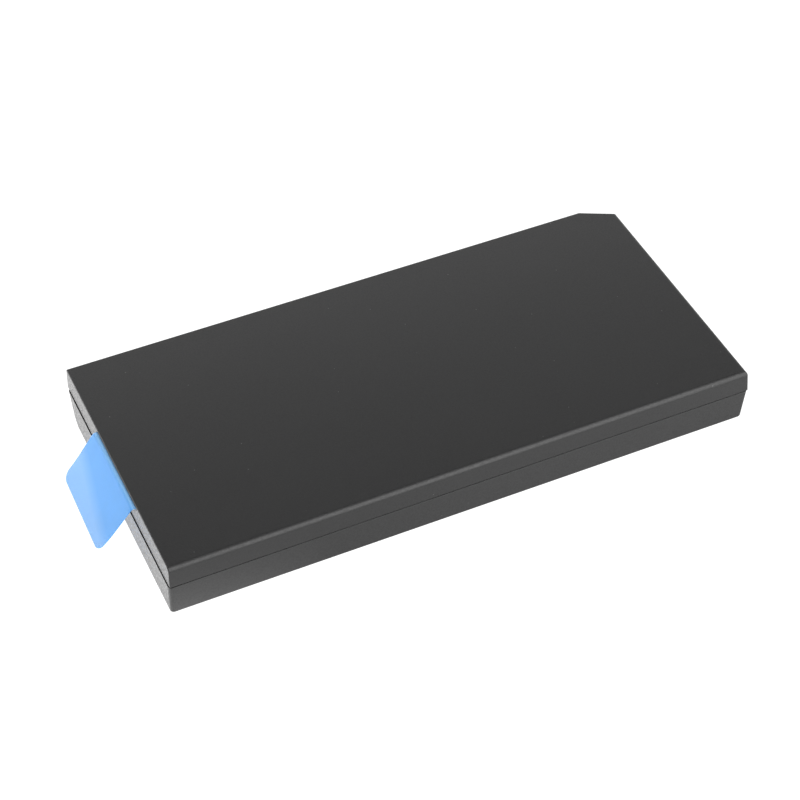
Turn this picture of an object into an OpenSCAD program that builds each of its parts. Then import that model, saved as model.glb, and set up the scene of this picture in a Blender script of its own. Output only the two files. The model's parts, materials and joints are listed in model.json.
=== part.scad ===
// Removable battery pack: a two-shell moulded case with a film pull tab, holding twelve
// cylindrical cells in three series groups of four, their nickel strips and a protection board.
// Frame: +X runs from the pull-tab end to the leading end, +Y to the clipped-corner side, +Z up.
// The origin is the centre of the case's footprint, on the base plane.

/* [Case] */
// Length of the case at the seam
body_l = 203; // [202.6:0.1:206]
// Width of the case at the seam
body_w = 95.6; // [95.6:0.2:99]
// Height of the closed case
body_h = 20.3; // [20.3:0.1:20.7]
// Height of the seam above the base
seam_z = 12.3; // [11.8:0.1:12.8]
// Height of the open gap that shows along the seam
seam_gap = 0.3; // [0.1:0.05:0.4]
// Extra height of the gap along the tab end
end_gap = 0.2; // [0.2:0.05:0.8]
// Length of the clipped corner along X
clip_x = 13.3; // [8:0.1:13.3]
// Length of the clipped corner along Y
clip_y = 6.65; // [4:0.05:6.65]
// Nominal wall thickness
wall = 1.4; // [1.3:0.05:1.5]
// Thickness of the floor and of the roof
skin = 0.95; // [0.9:0.05:0.95]

/* [Moulded edges] */
// Radius along the long front edge of the cover
front_fillet = 1.7; // [0.8:0.05:1.8]
// Radius along the top edge of the cover's leading end
lead_fillet = 1.2; // [0.4:0.1:1.4]
// Radius along the cover's other top edges
edge_fillet = 0.45; // [0.3:0.05:0.6]
// Radius of the cover's vertical corners
cover_corner = 0.6; // [0.4:0.1:1.2]
// Radius of the lower case's vertical corners
case_corner = 1.4; // [0.8:0.1:2]
// Radius of the heel along the back of the base
heel_r = 7.4; // [6:0.1:7.6]
// Slope of the lower case's back wall from vertical
back_slope = 20; // [16:1:20]
// Overhang of the cover past the lower case along the back
back_step = 1; // [0.8:0.1:1]
// Taper of the cover's sides over its height
cover_taper = 0.35; // [0.2:0.05:0.5]
// How far the cover's tab end leans in at the roof, measured from the lower case
cover_tab_in = 0.55; // [0.45:0.05:0.7]
// Ledge of the lower case that shows below the cover at the tab end
tab_ledge = 0.3; // [0.1:0.05:0.4]
// Taper of the cover's leading end over its height
cover_lead_in = 0.7; // [0.3:0.1:1.1]
// Taper of the lower case's leading end over its height
case_lead_in = 0.9; // [0.3:0.1:1.3]
// Radius along the bottom edges of the lower case
base_edge = 1; // [0.3:0.05:1]

/* [Cells] */
// Outside radius of a cell's steel can
can_r = 9.05; // [9.0:0.01:9.05]
// Length of a cell over its positive cap
cell_l = 65; // [64.8:0.1:65]

/* [Pull tab] */
// Width of the film tab
tab_w = 36; // [30:0.1:36]
// Thickness of the film
film_t = 0.25; // [0.2:0.01:0.3]
// Free length of the tab, from its fold line to its tip
tab_reach = 18.6; // [16:0.1:18.7]
// Angle that the relaxed tab hangs below level
tab_droop = 52; // [30:0.1:60]
// Radius of the tab's two outer corners
tab_corner = 3.7; // [2:0.1:5]

/* [Output socket] */
// Number of blade slots
slots = 6; // [5:1:6]
// Distance between blade slots
slot_pitch = 1.9; // [1.8:0.05:1.9]

/* [Hidden] */
$fn = 48;
eps = 0.01;
big = 400;

// Shell surfaces
half_l = body_l / 2;
half_w = body_w / 2;
case_top = seam_z - seam_gap / 2;
cover_bottom = seam_z + seam_gap / 2;
base_taper_front = 0.3;
base_taper_left = 0;
right_wall = wall + 0.8;
back_wall = wall + back_step;
lip_t = 0.6;
lip_h = 1.8;
lip_root = 1;
lip_fit = 0.1;
inner_corner = 1;
arc_steps = 6;

// Cell grid: columns along X are the series groups, rows along Y are in parallel
columns = 3;
rows = 4;
sleeve_t = 0.1;
cell_r = can_r + sleeve_t;
cell_pitch_x = 66;
cell_pitch_y = 2 * cell_r + 0.15;
cell_z = body_h / 2;
first_cell_x = -half_l + 2.3;
first_cell_y = -half_w + wall + 0.2 + cell_r;
function cell_x(column) = first_cell_x + column * cell_pitch_x;
function cell_y(row) = first_cell_y + row * cell_pitch_y;
cells_back = cell_y(rows - 1) + cell_r;

// Nickel strips and insulating papers
strip_t = 0.15;
strip_h = 9;
paper_t = 0.25;
tail_w = 5;
weld_r = 0.8;

// Board bay, behind the last row of cells
board_x0 = -64;
board_x1 = 86;
board_y0 = cells_back + 0.9;
board_w = 14.6;
board_t = 1;
board_z = 7;
board_top = board_z + board_t;
barrier_y = cells_back + 0.25;

// Output socket, set back in a pocket of the leading end
socket_w = (slots + 0.6) * slot_pitch;
socket_h = 6.2;
socket_x0 = board_x1 + 0.5;
socket_x1 = half_l - 3;
socket_y = board_y0 + socket_w / 2;
socket_z0 = 4.6;
slot_t = 1;
slot_depth = 8;
pocket_room = 0.2;

// Pull tab: the film leaves a slot just under the roof and folds about the line (fold_x, tab_z)
tab_y = -0.95;
tab_z = body_h - skin - 0.25;
fold_x = -half_l - 1.4;
tab_slot_w = tab_w + 0.8;
tab_slot_h = film_t + 0.3;
fold_gap = 0.1;

// Label recess in the base
label_l = 172;
label_w = 36;
label_y = -22.5;
label_t = 0.12;
recess_t = 0.18;
label_corner = 2;

function unit(v) = v / norm(v);

// Centre of the arc that rounds vertex p between its neighbours a and b
function arc_centre(a, p, b, r) =
    let (u = unit(a - p), v = unit(b - p))
    p + unit(u + v) * r / sqrt((1 - u * v) / 2);

// A convex counter-clockwise polygon with every corner rounded to radius r
function rounded(points, r) = [
    for (i = [0 : len(points) - 1])
        let (
            n = len(points),
            a = points[(i + n - 1) % n],
            p = points[i],
            b = points[(i + 1) % n],
            c = arc_centre(a, p, b, r),
            start = atan2(a.x - p.x, p.y - a.y),
            turn = (atan2(p.x - b.x, b.y - p.y) - start + 720) % 360
        )
        for (k = [0 : arc_steps])
            c + r * [cos(start + turn * k / arc_steps), sin(start + turn * k / arc_steps)]
];

// Points of an arc, from angle a0 to a1
function arc(centre, r, a0, a1, steps = 10) =
    [for (k = [0 : steps]) centre + r * [cos(a0 + (a1 - a0) * k / steps), sin(a0 + (a1 - a0) * k / steps)]];

// Plan of the case: a rectangle with one clipped corner. It is set in by d at the front, the tab end and
// the clip, by d_right at the leading end, by d_back along the back and by d_tab more at the tab end.
function plan(d = 0, d_right = 0, d_back = 0, d_tab = 0) =
    let (
        n = unit([clip_y, clip_x]),
        c = n * [half_l, half_w - clip_y] - d,
        xr = half_l - d_right,
        yb = half_w - d_back
    )
    [
        [-half_l + d + d_tab, -half_w + d], [xr, -half_w + d],
        [xr, (c - n.x * xr) / n.y], [(c - n.y * yb) / n.x, yb],
        [-half_l + d + d_tab, yb]
    ];

module plan_prism(points, z0, z1) {
    translate([0, 0, z0]) linear_extrude(z1 - z0) polygon(points);
}

// Extrudes a (y, z) profile along X
module along_x(points, x0, x1) {
    translate([x0, 0, 0]) rotate([90, 0, 90]) linear_extrude(x1 - x0) polygon(points);
}

// Extrudes an (x, z) profile along Y
module along_y(points, y0, y1) {
    translate([0, y1, 0]) rotate([90, 0, 0]) linear_extrude(y1 - y0) polygon(points);
}

module box(x0, x1, y0, y1, z0, z1) {
    translate([x0, y0, z0]) cube([x1 - x0, y1 - y0, z1 - z0]);
}

// Side profile of the cover: its sides lean in by taper0 and taper1, and turn into the roof
// with radii r0 and r1. The first side starts step0 inside the lower case.
function cover_profile(half, taper0, taper1, r0, r1, step0 = 0) = concat(
    [[-half + step0, cover_bottom], [half, cover_bottom]],
    arc([half - taper1 - r1, body_h - r1], r1, 0, 90),
    arc([-half + taper0 + r0, body_h - r0], r0, 90, 180)
);

module cover_envelope() {
    intersection() {
        plan_prism(rounded(plan(d_tab = tab_ledge), cover_corner), cover_bottom, body_h);
        along_x(cover_profile(half_w, cover_taper, cover_taper, front_fillet, edge_fillet), -big, big);
        along_y(cover_profile(half_l, cover_tab_in, cover_lead_in, edge_fillet, lead_fillet, tab_ledge),
            -big, big);
    }
}

// Side profile of the lower case across its width: near-upright front, sloping back wall, round heel.
// It is set in by d, with its floor at floor_z.
function case_profile_across(d = 0, floor_z = 0) =
    let (
        r = heel_r - d,
        wall_y = half_w - back_step - d / cos(back_slope),
        centre = [wall_y - (case_top - floor_z - r) * tan(back_slope) - r / cos(back_slope), floor_z + r]
    )
    concat(
        arc(centre, r, -90, -back_slope),
        [[wall_y, case_top], [wall_y, body_h], [-half_w + d, body_h], [-half_w + d, case_top]],
        arc([-half_w + base_taper_front + base_edge + d, floor_z + base_edge], base_edge, 180, 270, 6)
    );

// Side profile of the lower case along its length
function case_profile_along() = concat(
    arc([half_l - case_lead_in - base_edge, base_edge], base_edge, -90, 0, 6),
    [[half_l, case_top], [-half_l, case_top]],
    arc([-half_l + base_taper_left + base_edge, base_edge], base_edge, 180, 270, 6)
);

module case_envelope() {
    intersection() {
        plan_prism(rounded(plan(), case_corner), 0, case_top);
        along_x(case_profile_across(), -big, big);
        along_y(case_profile_along(), -big, big);
    }
}

// Inner plan shared by both shells; grow moves it out into the walls
function inner_plan(grow = 0) = rounded(plan(wall - grow, right_wall - grow, back_wall - grow), inner_corner);

// Ribs that sit in the valleys between rows, clear of the cells
module valley_ribs(z0, z1) {
    rib_t = 2;
    rib_l = 12;
    rib_offset = 18;
    for (column = [0 : columns - 1], row = [0 : rows - 2], side = [-1, 1]) {
        x = cell_x(column) + cell_l / 2 + side * rib_offset;
        y = (cell_y(row) + cell_y(row + 1)) / 2;
        box(x - rib_l / 2, x + rib_l / 2, y - rib_t / 2, y + rib_t / 2, z0, z1);
    }
}

board_post_x = [-52, 8, 72];
board_post_r = 1.6;
pin_r = 0.9;
pin_x = [-58, 66];
pin_y = board_y0 + board_w - 2.4;
pin_over = 0.6;
rail_t = 1.2;
valley_rib_h = 4.2;

// Wider gap that the two halves leave along the tab end, narrowing towards both corners
module end_gape() {
    near = seam_gap / 2;
    far = (seam_gap + end_gap) / 2;
    outline = [
        [-half_w + 2.3, -near], [-30, -far], [41, -far], [half_w - 2.8, -near],
        [half_w - 2.8, near], [41, far], [-30, far], [-half_w + 2.3, near]
    ];
    along_x([for (p = outline) [p[0], seam_z + p[1]]], -half_l - 1, -half_l + wall - lip_t - lip_fit + 0.02);
}

module upper_cover() {
    color("#3f3f41") {
        difference() {
            cover_envelope();
            plan_prism(inner_plan(), cover_bottom - eps, body_h - skin);
            // Rebate that takes the lower case's lip
            plan_prism(inner_plan(lip_t + lip_fit), cover_bottom - eps, case_top + lip_h + lip_fit);
            // Slot that the film tab comes out of
            box(-half_l - 1, -half_l + wall + 1, tab_y - tab_slot_w / 2, tab_y + tab_slot_w / 2,
                tab_z - tab_slot_h / 2, body_h - skin);
            end_gape();
        }
        valley_ribs(body_h - skin - valley_rib_h, body_h - skin + eps);
        for (x = board_post_x)
            translate([x, board_y0 + 1.8, board_top + 0.05])
                cylinder(r = board_post_r, h = body_h - skin - board_top);
    }
}

module lower_case() {
    color("#454547") {
        difference() {
            case_envelope();
            intersection() {
                plan_prism(inner_plan(), skin, body_h);
                along_x(case_profile_across(wall, skin), -big, big);
            }
            // Label recess
            plan_prism(rounded(label_outline(label_l + 0.6, label_w + 0.6), label_corner), -eps, recess_t);
            // Pocket in front of the output socket
            box(socket_x1 - 3, half_l + 1,
                socket_y - socket_w / 2 - pocket_room, socket_y + socket_w / 2 + pocket_room,
                socket_z0 - pocket_room, socket_z0 + socket_h + pocket_room);
            end_gape();
        }
        // Lip that laps inside the cover
        difference() {
            plan_prism(inner_plan(lip_t), case_top - lip_root, case_top + lip_h);
            plan_prism(inner_plan(), case_top - lip_root - eps, body_h);
            // Clear of the film anchor
            box(-half_l, -half_l + wall + eps, tab_y - tab_slot_w / 2, tab_y + tab_slot_w / 2,
                case_top, body_h);
        }
        valley_ribs(skin - eps, skin + valley_rib_h);
        intersection() {
            case_envelope();
            board_supports();
        }
    }
}

// Rails that carry the board, pins that locate it, and the shelf under the output socket
module board_supports() {
    for (y = [board_y0 + 0.2, board_y0 + board_w - 4.4])
        box(board_x0 + 2, board_x1 - 2, y, y + rail_t, skin - eps, board_z);
    for (x = pin_x)
        translate([x, pin_y, eps]) {
            cylinder(r = board_post_r, h = board_z - eps);
            cylinder(r = pin_r, h = board_top + pin_over - eps);
        }
    for (x = [socket_x0 + 2, socket_x1 - 3.5])
        box(x, x + rail_t, socket_y - socket_w / 2 + 1, socket_y + socket_w / 2 - 1, skin - eps, socket_z0);
}

function label_outline(l, w) = [
    [-l / 2, label_y - w / 2], [l / 2, label_y - w / 2], [l / 2, label_y + w / 2], [-l / 2, label_y + w / 2]
];

module rating_label() {
    color("#c9cacb")
        plan_prism(rounded(label_outline(label_l, label_w), label_corner), recess_t - label_t, recess_t);
}

// Flat outline of the free tab, from its fold line outwards, with two round outer corners
function tab_outline() = concat(
    [[fold_gap, tab_w / 2], [fold_gap, -tab_w / 2]],
    arc([tab_reach - tab_corner, -tab_w / 2 + tab_corner], tab_corner, -90, 0),
    arc([tab_reach - tab_corner, tab_w / 2 - tab_corner], tab_corner, 0, 90)
);

module pull_tab() {
    color("#83bcff") translate([fold_x, tab_y, tab_z]) rotate([0, 180 - tab_droop, 0])
        linear_extrude(film_t, center = true) polygon(tab_outline());
}

// The same film inside the case: through the slot, then down behind the end wall
module pull_tab_anchor() {
    leg_x = -half_l + wall + 0.05;
    leg_h = 8;
    color("#83bcff") {
        box(fold_x + 2 * fold_gap, leg_x + film_t, tab_y - tab_w / 2, tab_y + tab_w / 2,
            tab_z - film_t / 2, tab_z + film_t / 2);
        box(leg_x, leg_x + film_t, tab_y - tab_w / 2, tab_y + tab_w / 2,
            tab_z - leg_h, tab_z);
    }
}

// Places a child whose axis is +Z at the base of one cell, pointing along +X
module at_cell(column, row) {
    translate([cell_x(column), cell_y(row), cell_z]) rotate([0, 90, 0]) children();
}

module at_every_cell() {
    for (column = [0 : columns - 1], row = [0 : rows - 1])
        at_cell(column, row) children();
}

can_t = 0.25;
crimp_z = cell_l - 4;
shoulder_z = cell_l - 0.8;

module cell_can(index) {
    r = can_r;
    color("#c4c6c8") at_cell(floor(index / rows), index % rows)
        rotate_extrude() polygon([
            [0, 0], [r, 0], [r, crimp_z - 0.8], [r - 0.6, crimp_z - 0.3], [r - 0.6, crimp_z + 0.3],
            [r, crimp_z + 0.8], [r, shoulder_z - 0.3], [r - 0.3, shoulder_z], [r - 2, shoulder_z],
            [r - 2, shoulder_z - can_t], [r - can_t, shoulder_z - can_t],
            [r - can_t, crimp_z + 0.8], [r - 0.6 - can_t, crimp_z + 0.3],
            [r - 0.6 - can_t, crimp_z - 0.3], [r - can_t, crimp_z - 0.8],
            [r - can_t, can_t], [0, can_t]
        ]);
}

module jelly_rolls() {
    mandrel_r = 1;
    color("#5b5d63") at_every_cell()
        translate([0, 0, 1]) difference() {
            cylinder(r = can_r - can_t - 0.05, h = crimp_z - 2.5);
            translate([0, 0, -eps]) cylinder(r = mandrel_r, h = cell_l);
        }
}

gasket_r = can_r - can_t - 0.02;
gasket_z0 = crimp_z + 0.9;
gasket_z1 = shoulder_z - can_t - 0.02;

module cell_gaskets() {
    color("#e7e4da") at_every_cell()
        rotate_extrude() polygon([
            [gasket_r - 1.4, gasket_z0], [gasket_r, gasket_z0], [gasket_r, gasket_z1],
            [gasket_r - 1.4, gasket_z1], [gasket_r - 1.4, gasket_z1 - 0.25],
            [gasket_r - 0.4, gasket_z1 - 0.25], [gasket_r - 0.4, gasket_z0 + 0.25],
            [gasket_r - 1.4, gasket_z0 + 0.25]
        ]);
}

module cell_caps() {
    rim = gasket_r - 0.42;
    z0 = gasket_z0 + 0.27;
    z1 = gasket_z1 - 0.27;
    color("#d9dadb") at_every_cell()
        rotate_extrude() polygon([
            [0, cell_l - 0.3], [2.4, cell_l - 0.3], [2.8, z0], [rim, z0], [rim, z1],
            [3.3, z1], [2.8, cell_l], [0, cell_l]
        ]);
}

module cell_washers() {
    color("#f0efe9") at_every_cell()
        translate([0, 0, shoulder_z]) difference() {
            cylinder(r = can_r - 0.4, h = 0.2);
            translate([0, 0, -eps]) cylinder(r = 3.8, h = 1);
        }
}

module cell_sleeves() {
    top = shoulder_z + 0.2;
    fold_in = 1.6;
    color("#3f7fb0") at_every_cell()
        rotate_extrude() polygon([
            [can_r - fold_in, -sleeve_t], [cell_r, -sleeve_t], [cell_r, top + sleeve_t],
            [can_r - fold_in, top + sleeve_t], [can_r - fold_in, top], [can_r, top],
            [can_r, 0], [can_r - fold_in, 0]
        ]);
}

strip_y0 = cell_y(0) - strip_h / 2;
strip_y1 = cell_y(rows - 1) + strip_h / 2;

// A nickel plate across one column's cell ends. x is its face towards the cells, and side, +1 or -1,
// is the way it faces.
module strip_plate(x, side, weld_h) {
    x0 = side > 0 ? x : x - strip_t;
    box(x0, x0 + strip_t, strip_y0, strip_y1, cell_z - strip_h / 2, cell_z + strip_h / 2);
    if (weld_h > 0)
        for (row = [0 : rows - 1], dy = [-2, 2], dz = [-2, 2])
            translate([x, cell_y(row) + dy, cell_z + dz]) rotate([0, -90 * side, 0])
                cylinder(r = weld_r, h = weld_h);
}

// Tail of a strip: a flat run towards the board at height z
module strip_tail(x0, x1, y1, z0, z1) {
    box(x0, x1, strip_y1 - eps, y1, z0, z1);
}

function base_face(column) = cell_x(column) - sleeve_t;
function cap_face(column) = cell_x(column) + cell_l;

module negative_strip() {
    color("#b9bbbd") {
        strip_plate(base_face(0), -1, sleeve_t);
        strip_tail(base_face(0) - strip_t, base_face(0), board_y0 + 6, board_top, board_top + 4);
    }
}

// Two plates joined by a fold behind the last row, with a foot soldered to the board
module series_strip(column) {
    x0 = cap_face(column);
    x1 = base_face(column + 1);
    middle = (x0 + x1) / 2;
    fold_y = barrier_y;
    color("#b9bbbd") {
        strip_plate(x0, 1, 0);
        strip_plate(x1, -1, sleeve_t);
        strip_tail(x0, x0 + strip_t, fold_y + strip_t, board_top, board_top + 5);
        strip_tail(x1 - strip_t, x1, fold_y + strip_t, board_top, board_top + 5);
        box(x0, x1, fold_y, fold_y + strip_t, board_top, board_top + 5);
        box(middle - tail_w / 2, middle + tail_w / 2, fold_y, board_y0 + 3.4, board_top, board_top + strip_t);
    }
}

module series_strip_1() { series_strip(0); }

module series_strip_2() { series_strip(1); }

module positive_strip() {
    color("#b9bbbd") {
        strip_plate(cap_face(2), 1, 0);
        strip_tail(cap_face(2), cap_face(2) + strip_t, board_y0 + 4.4, lead_z, lead_z + 2);
    }
}

module strip_insulators() {
    color("#8fa79a")
        for (column = [0, 1]) {
            x = (cap_face(column) + base_face(column + 1) - paper_t) / 2;
            box(x, x + paper_t, strip_y0 - 3, cells_back - 0.5, cell_z - 7, cell_z + 7);
        }
}

// Fish paper that covers one end of the cell block
module end_paper(x) {
    box(x, x + paper_t, -half_w + wall + 1, cells_back, 1.8, tab_z - 0.6);
}

module left_end_insulator() { color("#8fa79a") end_paper(base_face(0) - strip_t - 0.05 - paper_t); }

module right_end_insulator() { color("#8fa79a") end_paper(cap_face(2) + strip_t + 0.05); }

module board_barrier() {
    barrier_end = 3;
    color("#8fa79a")
        for (column = [0 : columns - 1])
            box(cell_x(column) + barrier_end, cell_x(column) + cell_l - barrier_end,
                barrier_y, barrier_y + paper_t, 1.6, 14.4);
}

// Beads of adhesive along the upper valleys, between the ribs
module glue_beads() {
    bead_l = 20;
    bead_r = 1.3;
    bead_z = cell_z + sqrt(pow(cell_r + bead_r + eps, 2) - pow(cell_pitch_y / 2, 2));
    color("#ececec")
        for (column = [0 : columns - 1], row = [0 : rows - 2])
            translate([cell_x(column) + (cell_l - bead_l) / 2, (cell_y(row) + cell_y(row + 1)) / 2, bead_z])
                rotate([0, 90, 0]) cylinder(r = bead_r, h = bead_l);
}

module foam_block() {
    color("#2f3032")
        box(-half_l + 5, board_x0 - 4, board_y0 + 0.5, half_w - 5.5, board_top + 0.4, body_h - skin - 0.1);
}

module circuit_board() {
    color("#1f6a45") difference() {
        box(board_x0, board_x1, board_y0, board_y0 + board_w, board_z, board_top);
        for (x = pin_x)
            translate([x, pin_y, board_z - 1]) cylinder(r = pin_r + 0.15, h = board_t + 2);
    }
}

function slot_y(i) = socket_y + (i - (slots - 1) / 2) * slot_pitch;

module socket_housing() {
    color("#1c1c1d") difference() {
        box(socket_x0, socket_x1, socket_y - socket_w / 2, socket_y + socket_w / 2,
            socket_z0, socket_z0 + socket_h);
        for (i = [0 : slots - 1])
            {
                box(socket_x1 - slot_depth, socket_x1 + 1, slot_y(i) - slot_t / 2, slot_y(i) + slot_t / 2,
                    socket_z0 + 0.8, socket_z0 + socket_h - 0.8);
                // Channel for the contact's tail
                box(socket_x0 - 1, socket_x1 - slot_depth + eps, slot_y(i) - tail_half - 0.05,
                    slot_y(i) + tail_half + 0.05, board_top - 0.05, board_top + contact_t + 0.05);
            }
    }
}

contact_t = 0.22;
tail_half = 0.3;

// Forked contacts: two leaves in each slot, joined at the back, with a tail that lies on the board
module socket_contacts() {
    leaf_l = slot_depth - 1.6;
    leaf_h = 2.6;
    z0 = socket_z0 + socket_h / 2 - leaf_h / 2;
    back_x = socket_x1 - slot_depth;
    half_fork = slot_t / 2 - 0.03;
    color("#d8b45c")
        for (i = [0 : slots - 1], y = [slot_y(i)]) {
            for (leaf_y = [y - half_fork, y + half_fork - contact_t])
                box(back_x, back_x + leaf_l, leaf_y, leaf_y + contact_t, z0, z0 + leaf_h);
            box(back_x, back_x + contact_t, y - half_fork, y + half_fork, z0, z0 + leaf_h);
            box(board_x1 - 1.2, back_x + contact_t, y - tail_half, y + tail_half,
                board_top, board_top + contact_t);
        }
}

// Two rows of leads along a chip of length l and width w; each lead reaches out by d
module lead_rows(x, y, l, w, count, lead_w, d) {
    for (i = [0 : count - 1], side = [-1, 1]) {
        lx = x - l / 2 + (i + 0.5) * l / count;
        ly = y + side * (w / 2 + d / 2);
        box(lx - lead_w / 2, lx + lead_w / 2, ly - d / 2, ly + d / 2, board_top, board_top + 0.25);
    }
}

chip_y = board_y0 + 8.6;
gauge_x = 22;
gauge_l = 7.8;
gauge_w = 4.4;

module gauge_chip() {
    color("#222223")
        box(gauge_x - gauge_l / 2, gauge_x + gauge_l / 2, chip_y - gauge_w / 2, chip_y + gauge_w / 2,
            board_top + 0.1, board_top + 1.1);
}

module gauge_chip_leads() {
    color("#c9cacb") lead_rows(gauge_x, chip_y, gauge_l, gauge_w, 15, 0.25, 0.8);
}

mosfet_x = [50, 60];
mosfet_l = 5;
mosfet_w = 4;

module power_mosfets() {
    color("#232324")
        for (x = mosfet_x)
            box(x - mosfet_l / 2, x + mosfet_l / 2, chip_y - mosfet_w / 2, chip_y + mosfet_w / 2,
                board_top + 0.1, board_top + 1.5);
}

module mosfet_leads() {
    color("#c9cacb")
        for (x = mosfet_x)
            lead_rows(x, chip_y, mosfet_l, mosfet_w, 4, 0.45, 1);
}

module sense_resistor() {
    color("#2b2b2c") box(34, 40.4, chip_y - 1.6, chip_y + 1.6, board_top, board_top + 0.7);
}

module chemical_fuse() {
    color("#dcd9cf") box(73.5, 79.5, chip_y - 1.9, chip_y + 1.9, board_top, board_top + 1.2);
}

// A row of chip parts: count parts of size l, w and h from x, one every pitch
module chip_row(x, y, count, pitch, l, w, h) {
    for (i = [0 : count - 1])
        box(x + i * pitch, x + i * pitch + l, y, y + w, board_top, board_top + h);
}

module ceramic_capacitors() {
    color("#b89a72") {
        chip_row(-44, chip_y - 2.4, 5, 4, 2, 1.25, 1.2);
        chip_row(12, board_y0 + 2, 2, 3.4, 1.6, 0.8, 0.8);
        chip_row(28, chip_y + 3, 2, 3, 1.6, 0.8, 0.8);
    }
}

module chip_resistors() {
    color("#1f1f20") {
        chip_row(-44, chip_y + 1.6, 8, 3, 1.6, 0.8, 0.45);
        chip_row(-14, chip_y - 1, 6, 3, 1.6, 0.8, 0.45);
        chip_row(44, chip_y + 3.4, 4, 3, 1.6, 0.8, 0.45);
    }
}

lead_t = 0.3;
lead_z = 12.6;

module negative_lead() {
    y0 = board_y0 + 1.6;
    x0 = base_face(0);
    color("#b9bbbd") {
        box(x0, x0 + lead_t, y0, y0 + 4, board_top, board_top + 4);
        box(x0, board_x0 + 5, y0, y0 + 4, board_top, board_top + lead_t);
    }
}

positive_drop_x = 80.5;
cutoff_x0 = 84.5;
cutoff_x1 = 92.5;

module positive_lead() {
    y0 = board_y0 + 0.4;
    y1 = y0 + 3.6;
    x1 = cap_face(columns - 1);
    color("#b9bbbd") {
        box(positive_drop_x, cutoff_x0, y0, y1, lead_z, lead_z + lead_t);
        box(positive_drop_x, positive_drop_x + lead_t, y0, y1, board_top, lead_z + lead_t);
        box(cutoff_x1, x1, y0, y1, lead_z, lead_z + lead_t);
        box(x1 - lead_t, x1, y0, y1, lead_z, lead_z + 2);
    }
}

// The cut-off sits in line between the two halves of the positive lead
module thermal_cutoff() {
    color("#e3e0d6")
        box(cutoff_x0, cutoff_x1, board_y0 + 0.2, board_y0 + 4.2, lead_z - 0.5, lead_z + 0.8);
}

thermistor_x = -4;
thermistor_z = 16.1;
thermistor_r = 0.9;
thermistor_y = cell_y(rows - 1) + sqrt(pow(cell_r + thermistor_r + eps, 2) - pow(thermistor_z - cell_z, 2));
thermistor_foot = board_y0 + 2.2;

module thermistor() {
    color("#20242c") translate([thermistor_x, thermistor_y, thermistor_z]) sphere(r = thermistor_r);
}

module thermistor_leads() {
    r = 0.18;
    start = thermistor_y + thermistor_r - 0.1;
    color("#b3262a")
        for (dx = [-0.35, 0.35])
            translate([thermistor_x + dx, 0, 0]) {
                translate([0, start, thermistor_z]) rotate([-90, 0, 0])
                    cylinder(r = r, h = thermistor_foot - start);
                translate([0, thermistor_foot, thermistor_z]) sphere(r = r);
                translate([0, thermistor_foot, board_top]) cylinder(r = r, h = thermistor_z - board_top);
            }
}

// Solder pads beside the feet of the strips and leads
module solder_joints() {
    pad_h = 0.35;
    color("#cfd1d3") {
        for (column = [0, 1]) {
            x = (cap_face(column) + base_face(column + 1)) / 2;
            box(x - 2, x + 2, board_y0 + 3.4, board_y0 + 4.6, board_top, board_top + pad_h);
        }
        box(board_x0 + 5, board_x0 + 6.4, board_y0 + 1.8, board_y0 + 5.4, board_top, board_top + pad_h);
        box(positive_drop_x - 1.4, positive_drop_x, board_y0 + 0.6, board_y0 + 3.8,
            board_top, board_top + pad_h);
    }
}

upper_cover();
lower_case();
pull_tab();
pull_tab_anchor();
rating_label();
cell_can(0);  // cell_can_01
cell_can(1);  // cell_can_02
cell_can(2);  // cell_can_03
cell_can(3);  // cell_can_04
cell_can(4);  // cell_can_05
cell_can(5);  // cell_can_06
cell_can(6);  // cell_can_07
cell_can(7);  // cell_can_08
cell_can(8);  // cell_can_09
cell_can(9);  // cell_can_10
cell_can(10);  // cell_can_11
cell_can(11);  // cell_can_12
jelly_rolls();
cell_gaskets();
cell_caps();
cell_washers();
cell_sleeves();
negative_strip();
series_strip_1();
series_strip_2();
positive_strip();
strip_insulators();
left_end_insulator();
right_end_insulator();
board_barrier();
glue_beads();
foam_block();
circuit_board();
socket_housing();
socket_contacts();
gauge_chip();
gauge_chip_leads();
power_mosfets();
mosfet_leads();
sense_resistor();
chemical_fuse();
ceramic_capacitors();
chip_resistors();
negative_lead();
positive_lead();
thermal_cutoff();
thermistor();
thermistor_leads();
solder_joints();
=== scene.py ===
"""Looks of a removable battery pack: two moulded shells, a film pull tab, a blank label and the cells inside.

Lengths are in millimetres and become metres once, through MM. The places where pieces meet come from the
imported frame.
"""
import json
import math

import bmesh
import bpy
from mathutils import Matrix, Vector


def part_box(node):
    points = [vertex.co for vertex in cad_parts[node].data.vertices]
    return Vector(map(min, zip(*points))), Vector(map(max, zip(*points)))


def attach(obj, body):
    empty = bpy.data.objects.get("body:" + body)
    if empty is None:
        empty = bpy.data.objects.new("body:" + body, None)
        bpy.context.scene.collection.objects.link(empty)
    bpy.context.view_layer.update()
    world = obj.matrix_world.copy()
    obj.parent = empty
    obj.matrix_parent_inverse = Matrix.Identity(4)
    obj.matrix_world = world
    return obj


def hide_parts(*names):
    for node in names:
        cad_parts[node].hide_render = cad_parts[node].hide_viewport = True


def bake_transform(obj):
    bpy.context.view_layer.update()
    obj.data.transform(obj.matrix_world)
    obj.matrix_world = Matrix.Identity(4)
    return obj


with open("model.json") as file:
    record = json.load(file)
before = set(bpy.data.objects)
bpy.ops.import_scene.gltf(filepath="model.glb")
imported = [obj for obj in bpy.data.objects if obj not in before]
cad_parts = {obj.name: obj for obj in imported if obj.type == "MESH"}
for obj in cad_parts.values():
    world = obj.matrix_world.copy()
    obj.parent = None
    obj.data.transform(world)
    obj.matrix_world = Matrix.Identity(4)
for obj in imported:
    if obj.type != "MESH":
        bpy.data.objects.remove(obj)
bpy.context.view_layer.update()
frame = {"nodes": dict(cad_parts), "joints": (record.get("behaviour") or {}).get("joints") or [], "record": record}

MM = 0.001
NODES = frame["nodes"]


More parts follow.
